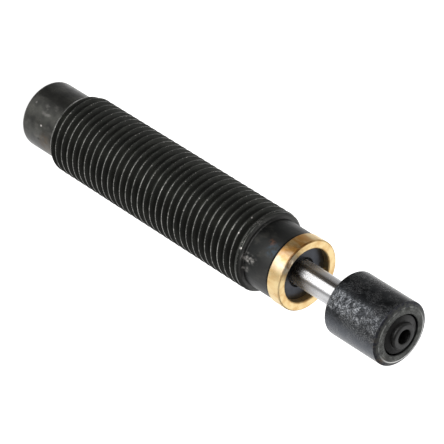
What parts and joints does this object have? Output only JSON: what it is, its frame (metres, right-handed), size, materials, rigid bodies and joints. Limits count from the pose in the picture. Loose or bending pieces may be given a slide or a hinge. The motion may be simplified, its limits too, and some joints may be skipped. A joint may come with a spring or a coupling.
{
  "type": "industrial shock absorber",
  "caption": "Miniature threaded shock absorber: a barrel, a sprung chrome rod with an impact button, a front stop cap, and piston, valve ring, seals and foam inside.",
  "frame": {"origin": "centre of the closed end's rear face", "axes": "+Z along the barrel's axis, from the closed end towards the button; X and Y across it"},
  "size_m": [0.014, 0.014, 0.0863],
  "materials": {
    "black_steel": "black oxide on turned steel, satin",
    "gland_steel": "blued steel, smooth",
    "gold_cap": "turned brass, bright",
    "chrome_rod": "hard chrome, polished",
    "button_steel": "black oxide worn by use",
    "insert_elastomer": "moulded urethane, matt",
    "plain_steel": "turned steel",
    "spring_steel": "drawn spring wire",
    "bronze": "bearing bronze, turned",
    "seal_rubber": "nitrile rubber",
    "seal_urethane": "polyurethane seal",
    "foam": "closed-cell nitrile foam"
  },
  "bodies": {
    "barrel": {"outer_body": "black_steel", "fill_screw": "plain_steel", "fill_seal": "seal_rubber", "tube_plug": "plain_steel", "pressure_tube": "plain_steel", "return_spring": "spring_steel", "rod_bearing": "bronze", "accumulator_foam": "foam", "seal_washer": "plain_steel", "rod_seal": "seal_urethane", "gland": "gland_steel", "gland_ring": "seal_rubber", "rod_wiper": "seal_rubber", "front_cap": "gold_cap"},
    "rod": {"piston_rod": "chrome_rod", "piston": "plain_steel", "piston_ring": "plain_steel", "spring_seat": "plain_steel", "piston_nut": "plain_steel", "button": "button_steel", "button_insert": "insert_elastomer"},
    "valve_ring": {"check_ring": "bronze"}
  },
  "joints": [
    {"name": "rod_slide", "type": "slide", "parent": "barrel", "child": "rod", "axis": [0, 0, -1], "range_m": [0, 0.0095], "stiffness_N_per_m": 760, "springref_m": -0.009, "deforming": ["return_spring"]},
    {"name": "check_ring_play", "type": "slide", "parent": "rod", "child": "valve_ring", "axis": [0, 0, 1], "range_m": [0, 0.0004]}
  ]
}
